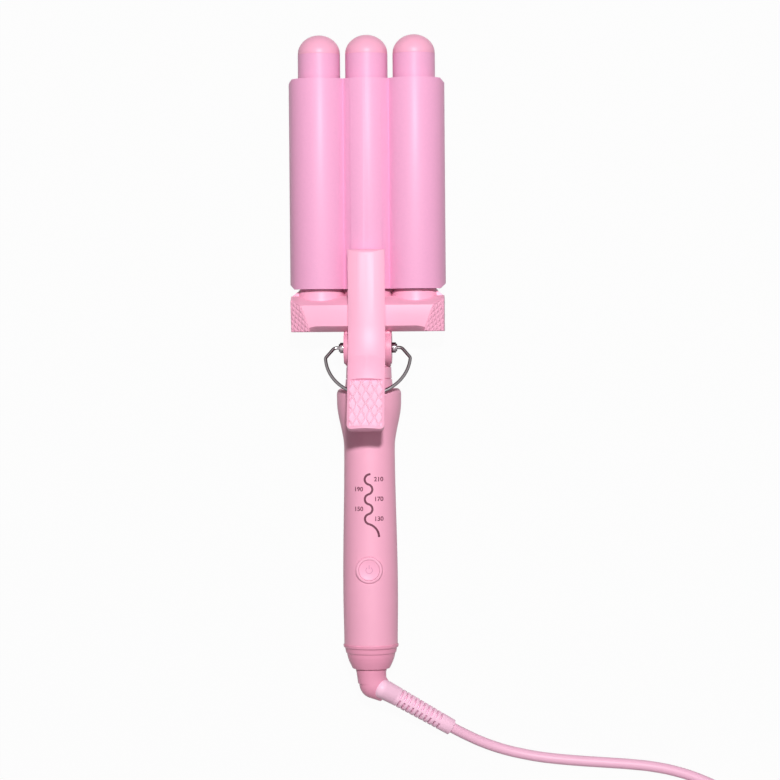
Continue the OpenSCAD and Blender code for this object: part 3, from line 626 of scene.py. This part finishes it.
def coil_turns(turns_in):
    """Route of the stored turns: inwards on the floor, up, and out again over them."""
    points = []
    for k in range(int((turns_in * 2 - 0.5) * COIL_STEPS) + 1):
        t = k / COIL_STEPS
        inwards = t < turns_in
        ring = min(turns_in - 1, t) if inwards else t - turns_in
        # Late in each turn the lead moves over by its own diameter
        moved = CORD_D * (int(ring) + smoothed((ring - int(ring) - MOVE_AT) / MOVE_TURN))
        radius = COIL_R - moved if inwards else min(COIL_R - CORD_D * (turns_in - 1) + moved, COIL_R)
        z = CORD_D / 2 + CORD_D * smoothed((t - (turns_in - CLIMB_TURN)) / CLIMB_TURN)
        a = math.radians(COIL_START) - 2 * math.pi * t
        points.append((COIL_CENTRE[0] + radius * math.cos(a), COIL_CENTRE[1] + radius * math.sin(a), z))
    return points


def rounded_line(name, points, radius):
    """A smooth round line through points in mm, with its radius in metres."""
    curve = bpy.data.curves.new(name, "CURVE")
    curve.dimensions = "3D"
    curve.bevel_depth = radius
    curve.bevel_resolution = 3
    curve.resolution_u = 4
    curve.use_fill_caps = True
    spline = curve.splines.new("BEZIER")
    spline.bezier_points.add(len(points) - 1)
    for p, at in zip(spline.bezier_points, points):
        p.co = Vector(at) * MM
        p.handle_left_type = p.handle_right_type = "AUTO"
    obj = bpy.data.objects.new(name, curve)
    bpy.context.scene.collection.objects.link(obj)
    return obj


class WAVER_OT_lead(bpy.types.Operator):
    """Lays the mains lead, its stored coil and the coil's tie"""

    bl_idname = "waver.lead"
    bl_label = "Lead"

    def execute(self, context):
        sizes = context.scene.waver_sizes
        points = CORD_ROUTE + coil_turns(sizes.coil_turns_in) + TAIL_ROUTE
        lead = rounded_line("mains_lead", points, sizes.cord_d / 2)
        dress(lead, FINISHES["lead"], "swivel", "cord_pvc", "cord", "cord_coil")
        # A strap of hook-and-loop tape round the bundle
        bpy.ops.mesh.primitive_cube_add(size=1.0, location=Vector(TIE_MIDDLE) * MM)
        tie = context.object
        tie.name = "coil_tie"
        tie.dimensions = Vector(TIE_SIZE) * MM
        settle(tie)
        apply_modifier(tie, "BEVEL", width=2.0 * MM, segments=6, limit_method="ANGLE")
        smooth(tie)
        dress(tie, FINISHES["black"], "swivel", "black_plastic")
        plug = moulding("mains_plug", "moulded_plug", sizes.plug_edge, "swivel", FINISHES["lead"], "cord_pvc")
        return {"FINISHED"}


# ---- handle, head, clamp, swivel ----


class WAVER_OT_handle(bpy.types.Operator):
    """Handle shells, end ring, button and bezel"""

    bl_idname = "waver.handle"
    bl_label = "Handle"

    def execute(self, context):
        sizes = context.scene.waver_sizes
        f = FINISHES
        for node, name, edge, finish, reshape in (
            ("handle_front_shell", "front_shell", sizes.shell_edge, "handle", None),
            ("handle_back_shell", "back_shell", sizes.shell_edge, "handle", None),
            ("end_ring", "lead_end_ring", sizes.turned_edge, "ring", widen_ring),
            ("button_bezel", "bezel_ring", sizes.shell_edge, "handle", None),
        ):
            PIECES[name] = moulding(node, name, edge, "handle", f[finish], "handle_abs", reshape=reshape)
        button = moulding("power_button", "dished_button", sizes.edge, "button", f["head"], "head_abs")
        sign = power_sign()
        lay_print(sign, button)
        dress(sign, f["sign"], "button", "head_abs")
        return {"FINISHED"}


def widen_ring(piece):
    """In edit mode, widens the end ring until it is nearly flush with the shells."""
    bpy.ops.mesh.select_all(action="SELECT")
    bpy.ops.transform.resize(value=(RING_GAIN, 1.0, RING_GAIN), center_override=(0.0, 0.0, AXIS_Z * MM))


def lay_print(flat, under):
    """Lowers a flat print onto the piece under it and gives the ink its thickness."""
    apply_modifier(
        flat, "SHRINKWRAP", target=under, wrap_method="PROJECT", use_project_z=True,
        use_negative_direction=True, use_positive_direction=False,
    )
    flat.location.z = INK_LIFT * MM
    settle(flat)
    apply_modifier(flat, "SOLIDIFY", thickness=INK_THICK * MM, offset=1.0)


def power_sign():
    """An open ring with a short bar in its gap, spun and laid out flat over the button."""
    foot = BUTTON_Y + SIGN_FOOT
    sign = start_piece(
        "power_sign", bpy.ops.mesh.primitive_plane_add, size=SIGN_STROKE * MM,
        location=Vector((0.0, foot, LAYOUT_Z)) * MM,
    )
    settle(sign)
    bpy.ops.object.mode_set(mode="EDIT")
    pick(sign, "edges", lambda e: all(v.co.y > foot * MM for v in e.verts))
    bpy.ops.mesh.extrude_region_move(TRANSFORM_OT_translate={"value": (0.0, SIGN_BAR * MM, 0.0)})
    middle = start_arc(sign)
    arc = math.radians(360.0 - 2 * SIGN_GAP)
    bpy.ops.mesh.spin(steps=28, angle=-arc, center=middle, axis=(0.0, 0.0, 1.0))
    bpy.ops.mesh.select_all(action="SELECT")
    bpy.ops.mesh.normals_make_consistent(inside=False)
    bpy.ops.object.mode_set(mode="OBJECT")
    return sign


def start_arc(sign):
    """In edit mode, adds the ring's first bar, selects its far edge and gives the ring's middle."""
    middle = Vector((0.0, BUTTON_Y, LAYOUT_Z)) * MM
    turn = math.radians(90.0 + SIGN_GAP)
    at = middle + SIGN_RING * MM * Vector((math.cos(turn), math.sin(turn), 0.0))
    along = Vector((-math.sin(turn), math.cos(turn), 0.0))
    reach = SIGN_STROKE * MM
    bpy.ops.mesh.select_all(action="DESELECT")
    bpy.ops.mesh.primitive_plane_add(size=reach, location=at, rotation=(0.0, 0.0, turn))

    def is_far(edge):
        ahead = sum((v.co - at).dot(along) for v in edge.verts)
        return ahead > 0.9 * reach and (edge.verts[0].co - at).length < reach

    pick(sign, "edges", is_far)
    return middle


class WAVER_OT_print(bpy.types.Operator):
    """Heat scale on the handle: a line that swings from side to side, with plain numbers"""

    bl_idname = "waver.print"
    bl_label = "Heat scale"

    def execute(self, context):
        sweep = math.radians(SCALE_SWEEP)
        radius = SCALE_PITCH / 2 / math.sin(sweep / 2)
        first = math.pi / 2 + (math.pi - sweep) / 2
        at = Vector((0.0, SCALE_TOP, LAYOUT_Z))
        out = Vector((-math.cos(first), -math.sin(first), 0.0))
        back = Vector((math.sin(first), -math.cos(first), 0.0))
        line = start_piece(
            "heat_scale", bpy.ops.mesh.primitive_plane_add, size=SCALE_STROKE * MM,
            rotation=(0.0, 0.0, first), location=(at + SCALE_STROKE / 2 * back) * MM,
        )
        settle(line)
        bpy.ops.object.mode_set(mode="EDIT")
        pick(line, "edges", lambda e: ((e.verts[0].co + e.verts[1].co) / 2 - at * MM).length < 0.05 * MM)
        side = 1
        end_radius, end_turn = SCALE_END
        for r, turn in [(radius, sweep)] * len(SCALE_NUMBERS) + [(end_radius, math.radians(end_turn))]:
            centre = at + r * out
            bpy.ops.mesh.spin(steps=14, angle=-side * turn, center=centre * MM, axis=(0.0, 0.0, 1.0))
            at = centre + Matrix.Rotation(side * turn, 3, "Z") @ (at - centre)
            out, side = (at - centre).normalized(), -side
        bpy.ops.mesh.select_all(action="SELECT")
        bpy.ops.mesh.remove_doubles(threshold=0.001 * MM)
        bpy.ops.mesh.normals_make_consistent(inside=False)
        bpy.ops.object.mode_set(mode="OBJECT")
        for bend, number in enumerate(SCALE_NUMBERS):
            side = 1 if bend % 2 == 0 else -1
            label = start_piece("number", bpy.ops.object.text_add)
            label.data.body = str(number)
            label.data.size = NUMBER_SIZE * MM
            label.data.offset = NUMBER_WEIGHT * MM
            label.data.align_x = label.data.align_y = "CENTER"
            bpy.ops.object.convert(target="MESH")
            label = context.object
            label.location = Vector((side * NUMBER_X, SCALE_TOP - SCALE_PITCH * (bend + 0.5), LAYOUT_Z)) * MM
            settle(label)
            line.select_set(True)
            context.view_layer.objects.active = line
            bpy.ops.object.join()
        lay_print(line, PIECES["front_shell"])
        dress(line, FINISHES["ink"], "handle", "handle_abs")
        return {"FINISHED"}


def steepen_low_bevel(piece):
    """In edit mode, lowers the lower edge of the crosspiece's long bevel, which makes it steep."""

    def on_low_edge(vertex):
        x, y, z = vertex.co / MM
        return y < -10.4 and abs(x) < 31.0 and 34.2 < z < 35.2

    pick(piece, "verts", on_low_edge)
    bpy.ops.transform.translate(value=(0.0, 0.0, -BEVEL_DROP * MM))


def dome_tip(piece):
    """In edit mode, brings each ring of the tip's top in or out to a half of an ellipse."""
    xs = [v.co.x for v in piece.data.vertices]
    middle = Vector(((min(xs) + max(xs)) / 2, 0.0, AXIS_Z * MM))
    widths = {}  # radius of each ring of the top, by its y
    for v in piece.data.vertices:
        if v.co.y > (TIP_TOP - DOME_H) * MM:
            y = round(v.co.y, 6)
            widths[y] = max(math.hypot(v.co.x - middle.x, v.co.z - middle.z), widths.get(y, 0.0))
    for y, r in widths.items():
        level = 1.0 - (TIP_TOP - y / MM) / DOME_H
        wanted = BARREL_R * MM * math.sqrt(max(0.0, 1.0 - level * level))
        if r > 0.1 * MM:
            pick(piece, "verts", lambda v: abs(v.co.y - y) < 0.002 * MM)
            bpy.ops.transform.resize(value=(wanted / r, 1.0, wanted / r), center_override=middle)


def lower_spring_leg(piece):
    """In edit mode, lowers the end of the spring's upper leg, so that the lever has room to come down."""
    pick(piece, "verts", lambda v: v.co.z > LEG_Z * MM)
    bpy.ops.transform.translate(value=(0.0, 0.0, -LEG_DROP * MM))


class WAVER_OT_head(bpy.types.Operator):
    """Crosspiece, neck, collar, tips and bushes"""

    bl_idname = "waver.head"
    bl_label = "Head"

    def execute(self, context):
        sizes = context.scene.waver_sizes
        f = FINISHES
        for node, name, edge, finish, reshape in (
            ("crosspiece_front", "crosspiece_front_cover", sizes.edge, "head", steepen_low_bevel),
            ("crosspiece_back", "crosspiece_back_cover", sizes.edge, "head", None),
            # The neck takes the deeper ring finish as painted shade, for it lies in shade under the lever
            ("hinge_neck", "neck_casting", sizes.edge, "ring", None),
            ("locking_collar", "head_collar", sizes.shell_edge, "head", None),
            ("tip_left", "cool_tip_left", sizes.turned_edge, "head", dome_tip),
            ("tip_centre", "cool_tip_centre", sizes.turned_edge, "head", dome_tip),
            ("tip_right", "cool_tip_right", sizes.turned_edge, "head", dome_tip),
        ):
            moulding(node, name, edge, "head", f[finish], "head_abs", reshape=reshape)
        moulding(
            "clamp_spring", "torsion_spring", 0.0, "head", f["steel"], "chrome", reshape=lower_spring_leg
        )
        moulding("hinge_bushes", "pivot_bushes", sizes.turned_edge, "head", f["bush"], "chrome")
        # Webs that close the gaps between neighbouring bosses; their deeper ring finish is painted shade, for
        # the gaps lie in the plate's shade
        for name, side in (("boss_web_left", -1), ("boss_web_right", 1)):
            middle = Vector((side * WEB_MIDDLE[0], WEB_MIDDLE[1], WEB_MIDDLE[2]))
            web = start_piece(name, bpy.ops.mesh.primitive_cube_add, size=1.0, location=middle * MM)
            web.dimensions = Vector(WEB_SIZE) * MM
            settle(web)
            apply_modifier(web, "BEVEL", width=0.3 * MM, segments=2, limit_method="ANGLE")
            smooth(web)
            dress(web, f["ring"], "head", "head_abs")
        add_end_grips(f["head"])
        return {"FINISHED"}


def add_end_grips(material):
    """Low pyramids on the four slanted ends of the crosspiece, one sheet of them and its mirror images."""
    grip = diamond_sheet("end_grip", *GRIP_DIAMOND, 12)
    bpy.ops.object.mode_set(mode="EDIT")
    trim([((0.4, 0, 0), (-1, 0, 0))])
    bpy.ops.mesh.select_all(action="SELECT")
    bpy.ops.mesh.poke(offset=GRIP_RISE * MM)
    bpy.ops.object.mode_set(mode="OBJECT")
    turn = Matrix.Rotation(-GRIP_LEAN, 4, "Z") @ Matrix.Rotation(GRIP_TILT, 4, "Y")
    grip.matrix_world = Matrix.Translation(Vector(GRIP_AT) * MM) @ turn
    settle(grip)
    bpy.ops.object.mode_set(mode="EDIT")
    trim(GRIP_EDGES)
    bpy.ops.object.mode_set(mode="OBJECT")
    apply_modifier(grip, "SOLIDIFY", thickness=GRIP_THICK * MM, offset=-1.0)
    copies = [(grip, (1, 1, 1), 0.0)]
    for name, scale, lift in (
        ("end_grip_left", (-1, 1, 1), 0.0),
        ("end_grip_back", (1, 1, -1), 2 * AXIS_Z),
        ("end_grip_back_left", (-1, 1, -1), 2 * AXIS_Z),
    ):
        select_only(grip)
        bpy.ops.object.duplicate()
        copy = bpy.context.object
        copy.name = copy.data.name = name
        copies.append((copy, scale, lift))
    for copy, scale, lift in copies:
        copy.scale = scale
        copy.location.z = lift * MM
        settle(copy)
        bpy.ops.object.mode_set(mode="EDIT")
        bpy.ops.mesh.select_all(action="SELECT")
        bpy.ops.mesh.normals_make_consistent(inside=False)
        bpy.ops.object.mode_set(mode="OBJECT")
        smooth(copy, 5)
        dress(copy, material, "head", "head_abs")


def round_plate_ends(plate):
    """In edit mode, takes a little off the plate's far end and cuts its four corners in two steps."""
    side = max(v.co.x for v in plate.data.vertices)
    low = min(v.co.y for v in plate.data.vertices)
    high = max(v.co.y for v in plate.data.vertices) - PLATE_CUT * MM
    cuts = [((0.0, high), (0.0, 1.0))]
    for end, out, long in zip((low, high), (-1.0, 1.0), PLATE_CORNERS):
        for across, along in ((1.0, long), (long, 1.0)):
            cuts += [((x * (side - across * MM), end), (x * along, out * across)) for x in (-1, 1)]
    for at, normal in cuts:
        bpy.ops.mesh.select_all(action="SELECT")
        bpy.ops.mesh.bisect(plane_co=(*at, 0.0), plane_no=(*normal, 0.0), clear_outer=True, use_fill=True)


class WAVER_OT_clamp(bpy.types.Operator):
    """Corrugated plate, thumb lever and thumb pad"""

    bl_idname = "waver.clamp"
    bl_label = "Clamp"

    def execute(self, context):
        sizes = context.scene.waver_sizes
        f = FINISHES
        moulding(
            "clamp_plate", "corrugated_plate", sizes.plate_edge, "clamp", f["coating"], "coated_aluminium",
            reshape=round_plate_ends,
        )
        moulding("thumb_lever", "lever_body", sizes.edge, "clamp", f["lever"], "head_abs")
        # The pad's diamonds are sunk between thin ridges that cross, for grip
        pad = diamond_sheet("diamond_pad", *PAD_DIAMOND, 8)
        bpy.ops.object.mode_set(mode="EDIT")
        bpy.ops.mesh.select_all(action="SELECT")
        bpy.ops.mesh.inset(use_individual=True, thickness=PAD_RIDGE * MM)
        bpy.ops.mesh.inset(use_individual=True, thickness=PAD_FLANK * MM, depth=-PAD_SINK * MM)
        trim([
            ((PAD_HALF, 0, 0), (1, 0, 0)), ((-PAD_HALF, 0, 0), (-1, 0, 0)),
            ((0, PAD_LEN / 2, 0), (0, 1, 0)), ((0, -PAD_LEN / 2, 0), (0, -1, 0)),
        ])
        pick(pad, "edges", lambda e: e.is_boundary)
        bpy.ops.mesh.extrude_region_move(TRANSFORM_OT_translate={"value": (0.0, 0.0, -PAD_THICK * MM)})
        bpy.ops.transform.resize(value=(1.0, 1.0, 0.0), center_override=(0.0, 0.0, -PAD_THICK * MM))
        bpy.ops.mesh.edge_face_add()
        bpy.ops.mesh.select_all(action="SELECT")
        bpy.ops.mesh.normals_make_consistent(inside=False)
        bpy.ops.object.mode_set(mode="OBJECT")
        pad.location = Vector((0.0, PAD_MIDDLE[0], PAD_MIDDLE[1])) * MM
        pad.rotation_euler.x = -math.radians(LEVER_SLOPE)
        settle(pad)
        apply_modifier(
            pad, "BEVEL", width=0.07 * MM, segments=2, limit_method="ANGLE", angle_limit=math.radians(30.0)
        )
        smooth(pad, 30)
        dress(pad, f["pad"], "clamp", "head_abs", "thumb_pad")
        return {"FINISHED"}


class WAVER_OT_stand(bpy.types.Operator):
    """Bends the wire stand"""

    bl_idname = "waver.stand"
    bl_label = "Wire stand"

    def execute(self, context):
        # Half of the loop, as x and the distance from the pin's axis, from the middle of the bow
        half, at, heading = [], Vector((0.0, -STAND_REACH)), 0.0

        def bend(radius, to, steps):
            nonlocal at, heading
            start, first = at.copy(), math.radians(heading)
            for k in range(1, steps + 1):
                h = math.radians(heading + (to - heading) * k / steps)
                at = start + radius * Vector((math.sin(h) - math.sin(first), math.cos(first) - math.cos(h)))
                half.append(at.copy())
            heading = to

        bow, corner, last = STAND_BENDS
        bend(*bow)
        bend(*corner)
        # A straight run takes the wire to where its last bend ends in line with the pin
        slant = math.radians(corner[1])
        rest = -at[1] - last[0] * (1.0 + math.cos(slant))
        at = at + Vector((rest / math.tan(slant), rest))
        half.append(at.copy())
        bend(*last)
        half.append(Vector((STAND_END, 0.0)))
        loop = [(-p[0], p[1]) for p in reversed(half)] + [(0.0, -STAND_REACH)] + [(p[0], p[1]) for p in half]
        tilt = math.radians(STAND_TILT)
        points = [(x, PIVOT[0] + s * math.cos(tilt), PIVOT[1] - s * math.sin(tilt)) for x, s in loop]
        wire = rounded_line("bent_wire", points, WIRE_R * MM)
        for p in wire.data.splines[0].bezier_points:
            p.handle_left_type = p.handle_right_type = "VECTOR"
        select_only(wire)
        bpy.ops.object.convert(target="MESH")
        wire = context.object
        smooth(wire, 60)
        dress(wire, FINISHES["chrome"], "stand", "chrome", "wire_stand")
        return {"FINISHED"}


class WAVER_OT_swivel(bpy.types.Operator):
    """Swivel elbow and strain relief"""

    bl_idname = "waver.swivel"
    bl_label = "Swivel"

    def execute(self, context):
        f = FINISHES
        elbow = moulding("swivel_elbow", "elbow_moulding", 0.0, "swivel", f["ring"], "handle_abs", shading=60)
        # The neck steps in below the end ring, and the elbow narrows from there
        select_only(elbow)
        bpy.ops.object.mode_set(mode="EDIT")
        for y in ELBOW_CUTS:
            bpy.ops.mesh.select_all(action="SELECT")
            bpy.ops.mesh.bisect(plane_co=Vector((0.0, y, 0.0)) * MM, plane_no=(0.0, 1.0, 0.0))
        for y, scale, shift in ELBOW_STEPS:
            pick(elbow, "verts", lambda v: v.co.y < y * MM)
            bpy.ops.transform.resize(value=(scale, 1.0, scale), center_override=(0.0, 0.0, AXIS_Z * MM))
            bpy.ops.transform.translate(value=Vector(shift) * MM)
        bpy.ops.object.mode_set(mode="OBJECT")
        start, tip = Vector(RELIEF_START), Vector(RELIEF_TIP)
        # The sleeve and the root take the lighter relief colour, which is painted light
        dress(relief_sleeve(start, tip), f["relief"], "swivel", "cord_pvc", "strain_relief")
        dress(relief_root(start, (tip - start).normalized()), f["relief"], "swivel", "cord_pvc")
        return {"FINISHED"}


def relief_sleeve(start, tip):
    """The relief's tapered sleeve, with a row of slots on either side of the rib along its top and bottom."""
    along, length = (tip - start).normalized(), (tip - start).length
    relief = start_piece(
        "slotted_relief", bpy.ops.mesh.primitive_cone_add, vertices=64, radius1=RELIEF_R[0] * MM,
        radius2=RELIEF_R[1] * MM, depth=(length - RELIEF_SEAT) * MM,
        location=(0.0, 0.0, (length + RELIEF_SEAT) / 2 * MM),
    )
    settle(relief)
    slots = [
        (FIRST_SLOT + k * SLOT_PITCH - side * SLOT_STAGGER, side) for k in range(SLOTS) for side in (-1, 1)
    ]
    bpy.ops.object.mode_set(mode="EDIT")
    for z, side in slots:
        for cut in (z, z + SLOT_WIDTH):
            bpy.ops.mesh.select_all(action="SELECT")
            bpy.ops.mesh.bisect(plane_co=(0.0, 0.0, cut * MM), plane_no=(0.0, 0.0, 1.0))

    def in_slot(face):
        at = face.calc_center_median() / MM
        return any(z < at.z < z + SLOT_WIDTH and at.y * side > RIB_HALF for z, side in slots)

    pick(relief, "faces", in_slot)
    bpy.ops.mesh.inset(thickness=0.0, depth=-SLOT_DEPTH * MM)
    bpy.ops.object.mode_set(mode="OBJECT")
    yaw = Matrix.Rotation(math.atan2(along.y, along.x), 4, "Z")
    pitch = Matrix.Rotation(math.acos(along.z), 4, "Y")
    relief.matrix_world = Matrix.Translation(start * MM) @ yaw @ pitch
    settle(relief)
    apply_modifier(relief, "BEVEL", width=0.15 * MM, segments=2, limit_method="ANGLE")
    smooth(relief)
    return relief


def relief_root(start, along):
    """The relief's root, which lies over the elbow and comes out of it with a rounded front."""
    low = start - ROOT_BACK * along + Vector((0.0, 0.0, ROOT_LIFT))
    high = start + ROOT_FRONT * along
    root = start_piece(
        "relief_root", bpy.ops.mesh.primitive_cone_add, vertices=64, radius1=ROOT_R[0] * MM,
        radius2=ROOT_R[1] * MM, depth=(high - low).length * MM, location=(low + high) / 2 * MM,
        rotation=(high - low).to_track_quat("Z", "Y").to_euler(),
    )
    settle(root)
    bpy.ops.object.mode_set(mode="EDIT")
    pick(root, "edges", lambda e: all((v.co / MM - low).dot(high - low) < 0.1 for v in e.verts))
    bpy.ops.mesh.bevel(offset=ROOT_ROUND * MM, segments=10)
    bpy.ops.object.mode_set(mode="OBJECT")
    smooth(root)
    return root


class WAVER_PT_panel(bpy.types.Panel):
    """Lists the waver's operators"""

    bl_idname = "WAVER_PT_panel"
    bl_label = "Hair waver"
    bl_space_type = "VIEW_3D"
    bl_region_type = "UI"
    bl_category = "Waver"

    def draw(self, context):
        for group in (context.scene.waver_colours, context.scene.waver_sizes, context.scene.waver_stage):
            for key in group.__annotations__:
                self.layout.prop(group, key)
        for operator in OPERATORS:
            self.layout.operator(operator.bl_idname)


OPERATORS = (
    WAVER_OT_stage, WAVER_OT_finishes, WAVER_OT_lead, WAVER_OT_handle, WAVER_OT_print, WAVER_OT_head,
    WAVER_OT_clamp, WAVER_OT_stand, WAVER_OT_swivel,
)
CLASSES = (WaverColours, WaverSizes, WaverStage, *OPERATORS, WAVER_PT_panel)


def register():
    """Adds the classes, and their settings to the scene."""
    for cls in CLASSES:
        bpy.utils.register_class(cls)
    bpy.types.Scene.waver_colours = PointerProperty(type=WaverColours)
    bpy.types.Scene.waver_sizes = PointerProperty(type=WaverSizes)
    bpy.types.Scene.waver_stage = PointerProperty(type=WaverStage)


def unregister():
    """Takes away what register adds."""
    del bpy.types.Scene.waver_stage
    del bpy.types.Scene.waver_sizes
    del bpy.types.Scene.waver_colours
    for cls in reversed(CLASSES):
        bpy.utils.unregister_class(cls)


def main():
    """Dresses the waver."""
    register()
    bpy.context.scene.view_settings.view_transform = "Standard"
    for operator in OPERATORS:
        group, name = operator.bl_idname.split(".")
        getattr(getattr(bpy.ops, group), name)()


if __name__ == "__main__":
    main()
